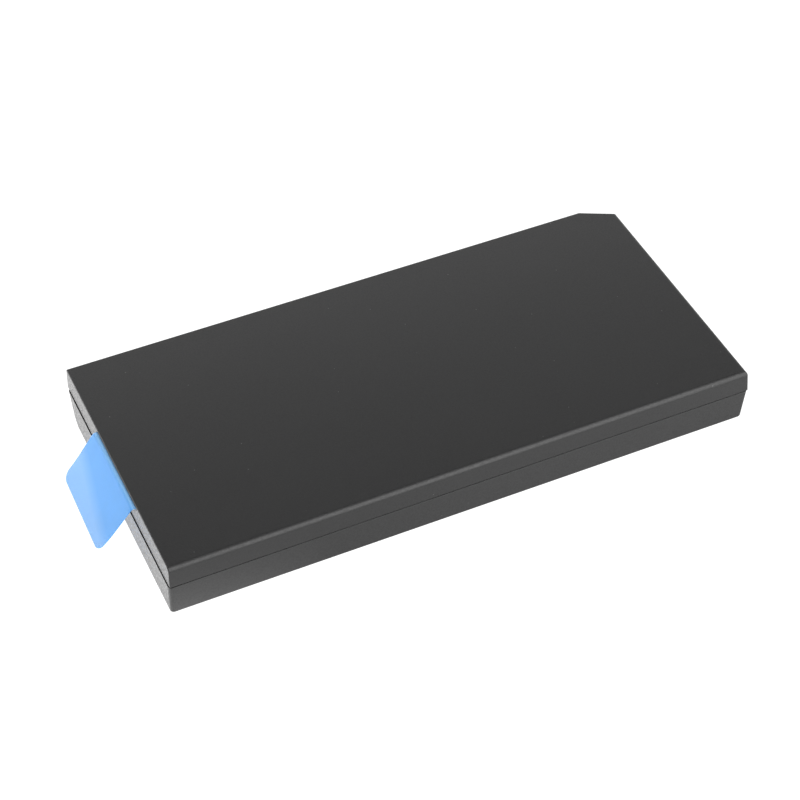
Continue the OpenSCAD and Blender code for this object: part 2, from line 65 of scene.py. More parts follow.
def box_mm(node):
    """Lowest and highest corner of a CAD node, in millimetres."""
    low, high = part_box(node)
    return low / MM, high / MM


# ---------------------------------------------------------------- driving dimensions

HALF_L, HALF_W, TOP = box_mm("upper_cover")[1]
FOLD = Vector(frame["joints"][0]["pos_m"]) / MM

# The gap between the two halves, and the walls on each side of it
SEAM = 12.3
SEAM_GAP = 0.3
CASE_TOP = SEAM - SEAM_GAP / 2
COVER_BOTTOM = SEAM + SEAM_GAP / 2
SKIN = 0.95
WALL = 1.4
BACK_STEP = 1.0
LEAD_WALL = WALL + 0.8
BACK_WALL = WALL + BACK_STEP
WALLS = (WALL, LEAD_WALL, WALL, BACK_WALL, WALL)
ROOF = TOP - SKIN
LIP = 0.6
LIP_FIT = 0.1
LIP_TOP = box_mm("lower_case")[1].z
LIP_EDGE = 0.1
INNER_CORNER = 1.0

# Cover: how far its walls lean in on the way up, its ledge at the tab end, its top rounds and its corners
COVER_TAPER = 0.35
COVER_LEAD_IN = 0.7
COVER_TAB_IN = 0.55
TAB_LEDGE = 0.3
FRONT_FILLET = 1.7
LEAD_FILLET = 1.2
EDGE_FILLET = 0.45
COVER_CORNER = 0.6
COVER_TOP_CORNER = 0.3

# Lower case: how far its walls lean in on the way down, its corners and rounds, its sloping back, and how
# far below the rim the inside starts to follow it
CASE_LEAD_IN = 0.9
CASE_TAPER = 0.3
CASE_CORNER = 1.4
CASE_BASE_CORNER = 1.2
BASE_EDGE = 1.0
HEEL = 7.4
BACK_SLOPE = math.radians(20)
HEEL_ANGLES = range(24, 71, 5)
INNER_HEEL_ANGLES = range(65, -1, -5)
INNER_SHOULDER = 1.0

# Broken edge of both rims, and the numbers of steps round the curves
RIM_EDGE = 0.13
RIM_STEPS = 3
CORNER_STEPS = 8
ARC_STEPS = 9
BOX_STEPS = 6
DISC_STEPS = 24

# Distance from a round to the loop that holds the shading of the flat beside it
SUPPORT = 0.2
# How far a rib or a post reaches into the skin that it stands on
OVERLAP = 0.3

# The five sides, counter-clockwise: front, leading end, clipped corner, back and tab end. Each has the way
# that it faces and its distance from the centre. Every list of insets follows this order.
LEAD, CLIP, BACK = 1, 2, 3
CLIP_X = 13.3
CLIP_Y = 6.65
CLIP_NORMAL = Vector((CLIP_Y, CLIP_X)).normalized()
NORMALS = [Vector((0, -1)), Vector((1, 0)), CLIP_NORMAL, Vector((0, 1)), Vector((-1, 0))]
REACH = [HALF_W, HALF_L, CLIP_NORMAL.dot(Vector((HALF_L, HALF_W - CLIP_Y))), HALF_W, HALF_L]


# ---------------------------------------------------------------- mesh helpers


def clean(mesh):
    """Joins points that fall together and drops the faces that this flattens."""
    work = bmesh.new()
    work.from_mesh(mesh)
    bmesh.ops.remove_doubles(work, verts=work.verts, dist=0.002 * MM)
    bmesh.ops.dissolve_degenerate(work, edges=work.edges, dist=0.001 * MM)
    bmesh.ops.recalc_face_normals(work, faces=work.faces)
    work.to_mesh(mesh)
    work.free()


def smooth(obj, sharp_angle=35):
    """Smooth shading, with edges sharper than sharp_angle kept crisp and large faces kept flat."""
    obj.data.polygons.foreach_set("use_smooth", [True] * len(obj.data.polygons))
    obj.data.set_sharp_from_angle(angle=math.radians(sharp_angle))
    weighted = obj.modifiers.new("weighted_normals", "WEIGHTED_NORMAL")
    weighted.keep_sharp = True
    weighted.weight = 80


def mesh_object(name, points, faces, material):
    """New object from points in millimetres."""
    mesh = bpy.data.meshes.new(name)
    mesh.from_pydata([Vector(p) * MM for p in points], [], faces)
    clean(mesh)
    obj = bpy.data.objects.new(name, mesh)
    bpy.context.scene.collection.objects.link(obj)
    mesh.materials.append(material)
    return obj


def meet(i, reach_i, j, reach_j):
    """Where the lines of sides i and j cross, each at its distance from the centre."""
    a, b = NORMALS[i], NORMALS[j]
    det = a.x * b.y - a.y * b.x
    return Vector(((reach_i * b.y - reach_j * a.y) / det, (a.x * reach_j - b.x * reach_i) / det))


def ring(insets, z, radius):
    """One level loop round the case, with an inset for each side and round corners.

    Every loop has the same number of points, so loops join with quads. Where deep insets swallow the clipped
    corner, its two ends share the corner that is left.
    """
    reach = [r - d - radius for r, d in zip(REACH, insets)]
    centres = [meet(i - 1, reach[i - 1], i, reach[i]) for i in range(5)]
    if centres[CLIP].x < centres[BACK].x:
        centres[CLIP] = meet(LEAD, reach[LEAD], BACK, reach[BACK])
        centres[BACK] = centres[CLIP]
    points = []
    for i in range(5):
        start = math.atan2(NORMALS[i - 1].y, NORMALS[i - 1].x)
        turn = (math.atan2(NORMALS[i].y, NORMALS[i].x) - start) % (2 * math.pi)
        gap_before = min(SUPPORT, (centres[i] - centres[i - 1]).length / 3)
        gap_after = min(SUPPORT, (centres[(i + 1) % 5] - centres[i]).length / 3)
        arc = []
        for k in range(CORNER_STEPS + 1):
            angle = start + turn * k / CORNER_STEPS
            arc.append(centres[i] + Vector((math.cos(angle), math.sin(angle))) * radius)
        arc.insert(0, arc[0] - Vector((-NORMALS[i - 1].y, NORMALS[i - 1].x)) * gap_before)
        arc.append(arc[-1] + Vector((-NORMALS[i].y, NORMALS[i].x)) * gap_after)
        points += [(p.x, p.y, z) for p in arc]
    return points


def loft(rings):
    """Points and faces of a solid skinned over a stack of loops and closed by its first and last loops."""
    count = len(rings[0])
    points = [p for loop in rings for p in loop]
    faces = [tuple(reversed(range(count)))]
    for k in range(len(rings) - 1):
        for i in range(count):
            j = (i + 1) % count
            faces.append((k * count + i, k * count + j, (k + 1) * count + j, (k + 1) * count + i))
    faces.append(tuple(range((len(rings) - 1) * count, len(rings) * count)))
    return points, faces


def box_solid(x0, x1, y0, y1, z0, z1):
    """Upright block between two corners."""
    return loft([[(x0, y0, z), (x1, y0, z), (x1, y1, z), (x0, y1, z)] for z in (z0, z1)])


def round_box(width, height, radius):
    """Counter-clockwise outline of a rectangle with round corners, about its centre."""
    points = []
    for quadrant, (sx, sy) in enumerate(((1, 1), (-1, 1), (-1, -1), (1, -1))):
        centre = (sx * (width / 2 - radius), sy * (height / 2 - radius))
        for k in range(BOX_STEPS + 1):
            angle = math.pi / 2 * (quadrant + k / BOX_STEPS)
            points.append((centre[0] + radius * math.cos(angle), centre[1] + radius * math.sin(angle)))
    return points


def disc(x, y, radius, z):
    """Points round a level circle."""
    angles = [2 * math.pi * k / DISC_STEPS for k in range(DISC_STEPS)]
    return [(x + radius * math.cos(a), y + radius * math.sin(a), z) for a in angles]


def combine(target, solids, operation):
    """Joins simple solids to target, or cuts it with them, and keeps only the result."""
    points, faces = [], []
    for solid_points, solid_faces in solids:
        base = len(points)
        points += solid_points
        faces += [tuple(base + v for v in face) for face in solid_faces]
    tool = mesh_object("tool", points, faces, target.data.materials[0])
    modifier = target.modifiers.new("combine", "BOOLEAN")
    modifier.operation = operation
    modifier.solver = "EXACT"
    modifier.use_self = operation == "UNION"
    modifier.object = tool
    graph = bpy.context.evaluated_depsgraph_get()
    result = bpy.data.meshes.new_from_object(target.evaluated_get(graph))
    target.modifiers.clear()
    old = target.data
    target.data = result
    result.name = old.name + "_made"
    bpy.data.objects.remove(tool)
    bpy.data.meshes.remove(old)


# ---------------------------------------------------------------- material helpers

# Range of a noise or a pattern over which a colour or a roughness swings
SWING = (0.3, 0.7)

# Sockets of the mix node when it mixes colours: share, first and second in, and the colour out
MIX_RGBA_INPUTS = (0, 6, 7)
MIX_RGBA_OUTPUT = 2


class Surface:
    """A Principled material under construction, with helpers that feed it procedural detail."""

    def __init__(self, name, color, roughness, metallic=0.0):
        self.material = bpy.data.materials.new(name)
        self.material.use_nodes = True
        self.material.diffuse_color = (*color, 1)
        self.nodes = self.material.node_tree.nodes
        self.links = self.material.node_tree.links
        self.shader = self.nodes["Principled BSDF"]
        self.color = color
        self.roughness = roughness
        self.set("Base Color", (*color, 1))
        self.set("Roughness", roughness)
        self.set("Metallic", metallic)
        self.coords = self.nodes.new("ShaderNodeTexCoord").outputs["Object"]
        self.normal = None

    def set(self, name, value):
        """Gives one input of the shader a plain value."""
        self.shader.inputs[name].default_value = value

    def feed(self, name, value):
        """Links a node's output to one input of the shader."""
        self.links.new(value, self.shader.inputs[name])

    def at(self, grain_mm, stretch=(1, 1, 1)):
        """Coordinates in which one unit is grain_mm, divided by stretch along each axis."""
        node = self.nodes.new("ShaderNodeMapping")
        node.inputs["Scale"].default_value = [s / (grain_mm * MM) for s in stretch]
        self.links.new(self.coords, node.inputs["Vector"])
        return node.outputs["Vector"]

    def noise(self, grain_mm, detail=2.0, stretch=(1, 1, 1), rough=0.5):
        """Cloudy noise with patches about grain_mm across."""
        node = self.nodes.new("ShaderNodeTexNoise")
        node.inputs["Scale"].default_value = 1
        node.inputs["Detail"].default_value = detail
        node.inputs["Roughness"].default_value = rough
        self.links.new(self.at(grain_mm, stretch), node.inputs["Vector"])
        return node.outputs["Fac"]

    def cells(self, grain_mm):
        """Distance to the nearest of a scatter of points, grain_mm apart."""
        node = self.nodes.new("ShaderNodeTexVoronoi")
        node.inputs["Scale"].default_value = 1
        self.links.new(self.at(grain_mm), node.inputs["Vector"])
        return node.outputs["Distance"]

    def remap(self, value, low, high, to_low, to_high):
        """Straight ramp from to_low to to_high as value goes from low to high, held level past both."""
        node = self.nodes.new("ShaderNodeMapRange")
        for name, number in zip(("From Min", "From Max", "To Min", "To Max"), (low, high, to_low, to_high)):
            node.inputs[name].default_value = number
        self.links.new(value, node.inputs["Value"])
        return node.outputs["Result"]

    def math(self, operation, first, second):
        """Arithmetic on two values, each a number or another node's output."""
        node = self.nodes.new("ShaderNodeMath")
        node.operation = operation
        for socket, value in zip(node.inputs, (first, second)):
            if isinstance(value, (int, float)):
                socket.default_value = value
            else:
                self.links.new(value, socket)
        return node.outputs["Value"]

    def mix(self, share, first, second):
        """A colour between first and second, each an rgb tuple or another node's output."""
        node = self.nodes.new("ShaderNodeMix")
        node.data_type = "RGBA"
        factor, first_color, second_color = (node.inputs[k] for k in MIX_RGBA_INPUTS)
        self.links.new(share, factor)
        for socket, value in ((first_color, first), (second_color, second)):
            if isinstance(value, tuple):
                socket.default_value = (*value, 1)
            else:
                self.links.new(value, socket)
        return node.outputs[MIX_RGBA_OUTPUT]

    def axis(self, index):
        """The object coordinate along one axis, in metres."""
        node = self.nodes.new("ShaderNodeSeparateXYZ")
        self.links.new(self.coords, node.inputs["Vector"])
        return node.outputs[index]

    def bump(self, height, depth_mm, strength=1.0):
        """Adds relief depth_mm deep to whatever relief is there already."""
        node = self.nodes.new("ShaderNodeBump")
        node.inputs["Distance"].default_value = depth_mm * MM
        node.inputs["Strength"].default_value = strength
        self.links.new(height, node.inputs["Height"])
        if self.normal is not None:
            self.links.new(self.normal, node.inputs["Normal"])
        self.normal = node.outputs["Normal"]
        self.feed("Normal", self.normal)

    def shade(self, factor, amount):
        """Lets the colour swing by amount either way as factor crosses its middle range."""
        darker = tuple(c * (1 - amount) for c in self.color)
        lighter = tuple(min(1.0, c * (1 + amount)) for c in self.color)
        out = self.mix(self.remap(factor, *SWING, 0, 1), darker, lighter)
        self.feed("Base Color", out)
        return out

    def vary_roughness(self, factor, amount):
        """Lets the roughness swing by amount either way as factor crosses its middle range."""
        self.feed("Roughness", self.remap(factor, *SWING, self.roughness - amount, self.roughness + amount))


# ---------------------------------------------------------------- materials


def case_plastic():
    """Moulded plastic: spark-eroded grain, faint flow marks, and a few specks of dust."""
    s = Surface("case_plastic", (0.018, 0.018, 0.0182), 0.42)
    grain = s.noise(0.3, detail=3, rough=0.6)
    flow = s.noise(30, stretch=(0.5, 1, 1))
    fine = s.shade(s.noise(0.42), 0.18)
    paler = tuple(c * 1.15 for c in s.color)
    flowed = s.mix(s.remap(flow, 0.35, 0.65, 0, 0.3), fine, paler)
    dust_color = (0.16, 0.16, 0.16)
    dust = s.remap(s.cells(6), 0.034, 0.024, 0, 0.6)
    s.feed("Base Color", s.mix(dust, flowed, dust_color))
    s.vary_roughness(s.noise(0.55, detail=1), 0.1)
    s.bump(grain, 0.022)
    s.bump(flow, 0.03, 0.3)
    return s.material


# Distances past the end of the case over which the film's two painted light marks come and go: a paler band that
# lifts the shade of the level run by the crease, and a painted sheen towards the outer edge
PAINTED_CREASE_LIGHT = (0.3, 0.95)
PAINTED_SHEEN = (6.2, 9.2)


def tab_film():
    """Blue polyester film with painted light: a paler band by its crease that lifts the shade of its level run,
    and a painted sheen towards its outer edge.
    """
    s = Surface("tab_film", (0.076, 0.362, 0.86), 0.36)
    even_blue = s.shade(s.noise(6), 0.03)
    # Painted light: the paler blue lifts the shade of the level run by the crease, and the paler, greyer blue is a
    # painted sheen towards the outer edge
    crease_light_blue = (0.27, 0.58, 1.0)
    painted_sheen_blue = (0.52, 0.72, 0.97)
    out = s.math("MULTIPLY", s.axis(0), -1)
    slant = s.math("MULTIPLY", s.axis(1), 0.16)
    start, full = ((HALF_L + reach) * MM for reach in PAINTED_SHEEN)
    # Share of the painted sheen, growing outwards and starting a little sooner towards the back
    sheen_share = s.remap(s.math("ADD", out, slant), start, full, 0, 0.24)
    with_sheen = s.mix(sheen_share, even_blue, painted_sheen_blue)
    full, end = ((HALF_L + reach) * MM for reach in PAINTED_CREASE_LIGHT)
    # Share of the painted light that lifts the shade by the crease: full near the cover, gone further out
    crease_light_share = s.remap(out, full, end, 1, 0)
    s.feed("Base Color", s.mix(crease_light_share, with_sheen, crease_light_blue))
    s.vary_roughness(s.noise(0.7), 0.04)
    s.bump(s.noise(9, detail=1), 0.04, 0.3)
    return s.material


def label_film():
    """Blank matt silver film with a fine brushed grain."""
    s = Surface("label_film", (0.55, 0.56, 0.57), 0.42, metallic=0.35)
    brushed = s.noise(0.22, stretch=(0.03, 1, 1))
    s.shade(brushed, 0.08)
    s.vary_roughness(brushed, 0.07)
    s.bump(brushed, 0.005)
    return s.material


def metal(name, color, roughness, grain_mm=0.12, stretch=(1, 1, 1), amount=0.1):
    """Metal with a drawn or rolled grain."""
    s = Surface(name, color, roughness, metallic=1.0)
    grain = s.noise(grain_mm, stretch=stretch)
    s.shade(grain, amount)
    s.vary_roughness(s.noise(3), 0.07)
    s.bump(grain, 0.004)
    return s.material


def plain(name, color, roughness, grain_mm=0.25, depth_mm=0.008, amount=0.07):
    """Moulded, cast or coated surface with a fine grain and slight mottling."""
    s = Surface(name, color, roughness)
    grain = s.noise(grain_mm)
    s.shade(s.noise(grain_mm * 8), amount)
    s.vary_roughness(grain, 0.05)
    s.bump(grain, depth_mm)
    return s.material


def fibre_paper():
    """Pressed fibre sheet with crossing strands."""
    s = Surface("insulating_paper", (0.27, 0.38, 0.32), 0.72)
    crossing = s.math("ADD", s.noise(0.15, stretch=(1, 0.12, 1)), s.noise(0.15, stretch=(1, 1, 0.12)))
    strands = s.math("MULTIPLY", crossing, 0.5)
    s.shade(strands, 0.16)
    s.bump(strands, 0.015)
    return s.material


def foam():
    """Closed-cell foam."""
    s = Surface("foam", (0.03, 0.03, 0.032), 0.9)
    bubbles = s.cells(0.6)
    s.shade(bubbles, 0.4)
    s.bump(bubbles, 0.2)
    return s.material


def solder_mask():
    """Green solder mask over copper tracks."""
    s = Surface("board_laminate", (0.013, 0.13, 0.06), 0.28)
    tracks = s.nodes.new("ShaderNodeTexBrick")
    tracks.inputs["Scale"].default_value = 1
    tracks.inputs["Mortar Size"].default_value = 0.09
    tracks.inputs["Brick Width"].default_value = 5
    tracks.inputs["Row Height"].default_value = 0.9
    s.links.new(s.at(1), tracks.inputs["Vector"])
    between_tracks = tracks.outputs["Fac"]
    s.feed("Base Color", s.mix(between_tracks, s.color, (0.03, 0.24, 0.1)))
    s.vary_roughness(s.noise(2), 0.05)
    s.bump(between_tracks, 0.035)
    return s.material


def wound_foil():
    """Coated foils of a wound cell, seen on edge."""
    s = Surface("wound_electrode", (0.11, 0.11, 0.12), 0.55, metallic=0.6)
    layers = s.noise(0.3, detail=1, stretch=(0.04, 1, 1))
    s.shade(layers, 0.4)
    s.bump(layers, 0.04)
    return s.material


def sleeve_film():
    """Shrunk film: glossy, with faint gathers along the cell."""
    s = Surface("sleeve_film", (0.05, 0.21, 0.43), 0.26)
    gathers = s.noise(1.6, detail=1, stretch=(0.15, 1, 1))
    s.shade(gathers, 0.08)
    s.vary_roughness(gathers, 0.04)
    s.bump(gathers, 0.03)
    return s.material


def slot_materials():
    """One material for each of the record's material slots."""
    return {
        "case_plastic": case_plastic(),
        "tab_film": tab_film(),
        "label_film": label_film(),
        "can_steel": metal("can_steel", (0.56, 0.57, 0.58), 0.3, stretch=(0.05, 1, 1)),
        "wound_electrode": wound_foil(),
        "gasket_plastic": plain("gasket_plastic", (0.80, 0.77, 0.68), 0.45),
        "nickel": metal("nickel", (0.62, 0.62, 0.61), 0.32, stretch=(1, 0.05, 1)),
        "washer_paper": plain("washer_paper", (0.85, 0.84, 0.79), 0.8, grain_mm=0.15, depth_mm=0.015),
        "sleeve_film": sleeve_film(),
        "insulating_paper": fibre_paper(),
        "adhesive": plain("adhesive", (0.80, 0.80, 0.78), 0.4, grain_mm=1.2, depth_mm=0.12),
        "foam": foam(),
        "board_laminate": solder_mask(),
        "socket_plastic": plain("socket_plastic", (0.012, 0.012, 0.013), 0.42, grain_mm=0.3),
        "contact_alloy": metal("contact_alloy", (0.80, 0.56, 0.20), 0.22, stretch=(0.1, 1, 1)),
        "chip_plastic": plain("chip_plastic", (0.016, 0.016, 0.017), 0.5, grain_mm=0.12, depth_mm=0.012),
        "ceramic": plain("ceramic", (0.72, 0.69, 0.60), 0.3, grain_mm=0.4),
        "ceramic_brown": plain("ceramic_brown", (0.42, 0.29, 0.15), 0.35, grain_mm=0.2),
        "thermistor_bead": plain("thermistor_bead", (0.015, 0.018, 0.026), 0.2, grain_mm=0.5),
        "wire_red": plain("wire_red", (0.42, 0.02, 0.02), 0.3),
        "solder": metal("solder", (0.66, 0.66, 0.66), 0.18, grain_mm=0.8),
    }


# ---------------------------------------------------------------- shells


def leaning(z, low, high, taper):
    """Inset of a side that leans in by taper between two heights."""
    return taper * (z - low) / (high - low)


def cover_insets(z):
    """Insets of the cover's five sides at a height: each leans in, then turns into the roof."""
    tapers = (COVER_TAPER, COVER_LEAD_IN, 0, COVER_TAPER, COVER_TAB_IN)
    fillets = (FRONT_FILLET, LEAD_FILLET, EDGE_FILLET, EDGE_FILLET, EDGE_FILLET)
    ledges = (0, 0, 0, 0, TAB_LEDGE)
    insets = []
    for taper, radius, ledge in zip(tapers, fillets, ledges):
        shoulder = TOP - radius
        if z <= shoulder:
            insets.append(ledge + leaning(z, COVER_BOTTOM, shoulder, taper - ledge))
        else:
            insets.append(taper + radius - math.sqrt(max(0, radius ** 2 - (z - shoulder) ** 2)))
    return insets


def arc_heights(start, radius):
    """Heights of points spread evenly round a quarter turn that ends at start + radius."""
    return [start + radius * math.sin(math.pi / 2 * k / ARC_STEPS) for k in range(ARC_STEPS + 1)]


def rim(insets, z, up, radius):
    """Loops round a rim's outer edge, from the side wall to the flat, or back again when up is -1."""
    loops = []
    for k in range(RIM_STEPS + 1):
        angle = k / RIM_STEPS * math.pi / 2
        drop = RIM_EDGE * (1 - math.sin(angle))
        inset = RIM_EDGE * (1 - math.cos(angle))
        loops.append(ring([d + inset for d in insets], z - up * drop, radius - inset))
    return loops


def cover_outside():
    """Loops up the outside of the cover, from its rim to its roof."""
    loops = list(reversed(rim(cover_insets(COVER_BOTTOM), COVER_BOTTOM, -1, COVER_CORNER)))
    first_turn = arc_heights(TOP - FRONT_FILLET, FRONT_FILLET)
    last_turn = arc_heights(TOP - EDGE_FILLET, EDGE_FILLET)
    heights = [COVER_BOTTOM + RIM_EDGE + SUPPORT, TOP - FRONT_FILLET - SUPPORT]
    heights += [z for z in first_turn if z < last_turn[0] - 0.02]
    heights += last_turn
    for z in heights:
        corner = COVER_CORNER - leaning(z, COVER_BOTTOM, TOP, COVER_CORNER - COVER_TOP_CORNER)
        loops.append(ring(cover_insets(z), z, corner))
    edge = cover_insets(TOP)
    loops.append(ring([d + SUPPORT for d in edge], TOP, COVER_TOP_CORNER))
    return loops


def cover_cavity():
    """Loops down the inside of the cover, from its roof to its rim."""
    rebate = [w - LIP - LIP_FIT for w in WALLS]
    step = LIP_TOP + LIP_FIT
    stack = ((WALLS, ROOF), (WALLS, step), (rebate, step), (rebate, COVER_BOTTOM))
    return [ring(insets, z, INNER_CORNER) for insets, z in stack]


def heel_inset(z, wall, floor):
    """Inset of the back wall at a height: a slope that turns into the floor round the heel.

    wall and floor are the thicknesses to measure inside of. Both are 0 for the outside.
    """
    radius = HEEL - wall
    face = HALF_W - BACK_STEP - wall / math.cos(BACK_SLOPE)
    centre_y = face - (CASE_TOP - floor - radius) * math.tan(BACK_SLOPE) - radius / math.cos(BACK_SLOPE)
    if z >= floor + radius * (1 - math.sin(BACK_SLOPE)):
        return HALF_W - face + (CASE_TOP - z) * math.tan(BACK_SLOPE)
    return HALF_W - centre_y - math.sqrt(max(0, radius ** 2 - (floor + radius - z) ** 2))


def case_insets(z):
    """Insets of the lower case's five sides at a height."""
    insets = []
    for taper in (CASE_TAPER, CASE_LEAD_IN, 0, None, 0):
        if taper is None:
            insets.append(heel_inset(z, 0, 0))
        elif z >= BASE_EDGE:
            insets.append(taper - leaning(z, BASE_EDGE, CASE_TOP, taper))
        else:
            insets.append(taper + BASE_EDGE - math.sqrt(max(0, BASE_EDGE ** 2 - (BASE_EDGE - z) ** 2)))
    return insets


def case_outside():
    """Loops up the outside of the lower case, from its base to its rim."""
    heights = [BASE_EDGE * (1 - math.cos(math.pi / 2 * k / ARC_STEPS)) for k in range(ARC_STEPS + 1)]
    heights += [HEEL * (1 - math.cos(math.radians(a))) for a in HEEL_ANGLES]
    heights.append(HEEL * (1 - math.sin(BACK_SLOPE)) + SUPPORT)
    heights.append(CASE_TOP - RIM_EDGE - SUPPORT)
    base = case_insets(0)
    loops = [ring([d + SUPPORT for d in base], 0, CASE_BASE_CORNER)]
    for z in heights:
        corner = CASE_BASE_CORNER + leaning(z, 0, CASE_TOP, CASE_CORNER - CASE_BASE_CORNER)
        loops.append(ring(case_insets(z), z, corner))
    return loops + rim(case_insets(CASE_TOP), CASE_TOP, 1, CASE_CORNER)


def case_inside():
    """Loops over the lip and down the inside of the lower case, from its rim to its floor."""
    lip = [w - LIP for w in WALLS]
    lip_edge = [w - LIP + LIP_EDGE for w in WALLS]
    loops = [
        ring(lip, CASE_TOP, INNER_CORNER),
        ring(lip, LIP_TOP - LIP_EDGE, INNER_CORNER),
        ring(lip_edge, LIP_TOP, INNER_CORNER),
        ring(WALLS, LIP_TOP, INNER_CORNER),
        ring(WALLS, CASE_TOP - LIP, INNER_CORNER),
    ]
    radius = HEEL - WALL
    heights = [CASE_TOP - INNER_SHOULDER]
    heights += [SKIN + radius * (1 - math.cos(math.radians(a))) for a in INNER_HEEL_ANGLES]
    for z in heights:
        share = (CASE_TOP - z) / (CASE_TOP - SKIN)
        back = max(BACK_WALL, heel_inset(z, WALL, SKIN))
        loops.append(ring((WALL + CASE_TAPER * share, LEAD_WALL, WALL, back, WALL), z, INNER_CORNER))
    return loops


# ---------------------------------------------------------------- features inside and through the shells

CELL_LOW, CELL_HIGH = box_mm("cell_can_01")
CELL_NEXT_ROW = (box_mm("cell_can_02")[0] - CELL_LOW).y
CELL_NEXT_COLUMN = (box_mm("cell_can_05")[0] - CELL_LOW).x
CELL_X = (CELL_LOW.x + CELL_HIGH.x) / 2
CELL_Y = (CELL_LOW.y + CELL_HIGH.y) / 2
BOARD_LOW, BOARD_HIGH = box_mm("circuit_board")
SOCKET_LOW, SOCKET_HIGH = box_mm("socket_housing")
TAB_LOW, TAB_HIGH = box_mm("pull_tab")
ANCHOR_HIGH = box_mm("pull_tab_anchor")[1]

# Ribs between the cells: size, and distance from the middle of a cell. What stands on the floor of the case
# starts at ROOT, and the feet of the pins also stay FOOT_DEPTH inside the curve of the heel.
RIB_L, RIB_T, RIB_H = 12, 2, 4.2
RIB_OFFSET = 18
ROOT = SKIN - OVERLAP
FOOT_DEPTH = 0.4
RAIL_T = 1.2

# Posts that hold the board down, and pins that locate it
POST_R = 1.6
POST_GAP = 0.05
POST_Y = BOARD_LOW.y + 1.8
POSTS_X = (-52, 8, 72)
PIN_R = 0.9
PIN_OVER = 0.6
PIN_CHAMFER = 0.2
PIN_Y = BOARD_HIGH.y - 2.4
PINS_X = (-58, 66)

# The film, the room that its slot leaves below it and at its ends, and the pocket of the output socket
FILM_T = 0.25
FILM_Z = FOLD.z + 0.1
FILM_WIDTH = TAB_HIGH.y - TAB_LOW.y
FILM_MIDDLE = (TAB_LOW.y + TAB_HIGH.y) / 2
SLOT_DROP = 0.6
SLOT_SPARE = 1.2
SLOT_FLARE = 0.6
POCKET_ROOM = 0.2
POCKET_CORNER = 0.35
POCKET_FLARE = 0.95


def valley_ribs(z0, z1):
    """Ribs that sit in the valleys between the rows of cells."""
    solids = []
    for column in range(3):
        for row in range(3):
            y = CELL_Y + (row + 0.5) * CELL_NEXT_ROW
            for side in (-1, 1):
                x = CELL_X + column * CELL_NEXT_COLUMN + side * RIB_OFFSET
                rib = box_solid(x - RIB_L / 2, x + RIB_L / 2, y - RIB_T / 2, y + RIB_T / 2, z0, z1)
                solids.append(rib)
    return solids


def board_supports():
    """Rails under the board and under the output socket."""
    solids = []
    for y in (BOARD_LOW.y + 0.2, BOARD_HIGH.y - 4.4):
        solids.append(box_solid(BOARD_LOW.x + 2, BOARD_HIGH.x - 2, y, y + RAIL_T, ROOT, BOARD_LOW.z))
    for x in (SOCKET_LOW.x + 2, SOCKET_HIGH.x - 3.5):
        solids.append(box_solid(x, x + RAIL_T, SOCKET_LOW.y + 1, SOCKET_HIGH.y - 1, ROOT, SOCKET_LOW.z))
    return solids


def heel_height(y):
    """Height of the outside of the heel at a distance y behind the middle."""
    past = max(0, y - (HALF_W - heel_inset(0, 0, 0)))
    return HEEL - math.sqrt(HEEL ** 2 - past ** 2)


def board_pins():
    """Shoulders of the board pins, with their feet inside the curved wall of the heel."""
    solids = []
    for x in PINS_X:
        foot = [(a, b, max(ROOT, heel_height(b) + FOOT_DEPTH)) for a, b, _ in disc(x, PIN_Y, POST_R, 0)]
        solids.append(loft([foot, disc(x, PIN_Y, POST_R, BOARD_LOW.z)]))
    return solids


def pin_tips():
    """Pins through the board, each with a chamfered tip above it."""
    top = BOARD_HIGH.z + PIN_OVER
    levels = ((PIN_R, BOARD_LOW.z - 0.5), (PIN_R, top - PIN_CHAMFER), (PIN_R - PIN_CHAMFER, top))
    return [loft([disc(x, PIN_Y, r, z) for r, z in levels]) for x in PINS_X]


def socket_pocket():
    """Cutter for the pocket in front of the output socket, with a flared mouth."""
    middle = (SOCKET_LOW + SOCKET_HIGH) / 2
    size = SOCKET_HIGH - SOCKET_LOW
    face = HALF_L - CASE_LEAD_IN * (1 - middle.z / CASE_TOP)
    loops = []
    for x, grow in ((SOCKET_HIGH.x - 3, 0), (face - 0.35, 0), (face + 0.6, POCKET_FLARE)):
        spare = 2 * (POCKET_ROOM + grow)
        outline = round_box(size.y + spare, size.z + spare, POCKET_CORNER + grow)
        loops.append([(x, middle.y + a, middle.z + b) for a, b in outline])
    return loft(loops)


def film_slot():
    """Cutter for the slot under the roof that the film comes out of, with round ends and a flared mouth."""
    low = FILM_Z - SLOT_DROP
    z = (low + ROOF) / 2
    face = -HALF_L + COVER_TAB_IN
    loops = []
    for x, grow in ((face - 0.4, SLOT_FLARE), (face + 0.05, 0), (-HALF_L + WALL + 0.6, 0)):
        height = ROOF - low + grow
        outline = round_box(FILM_WIDTH + SLOT_SPARE + grow, height, height / 2 - 0.01)
        loops.append([(x, FILM_MIDDLE + a, z + b) for a, b in outline])
    return loft([list(reversed(loop)) for loop in loops])


def lip_notch():
    """Cutter that clears the lip round the film's anchor."""
    half = FILM_WIDTH / 2 + 0.4
    low_y, high_y = FILM_MIDDLE - half, FILM_MIDDLE + half
    return box_solid(-HALF_L + 0.1, -HALF_L + WALL + 0.01, low_y, high_y, CASE_TOP, LIP_TOP + 1)


# Height of the gap along the tab end, and where along the end it is full and where it stops
GAPE = SEAM_GAP + 0.2
GAPE_FLAT = (-30, 41)
GAPE_END = (-HALF_W + 2.3, HALF_W - 2.8)


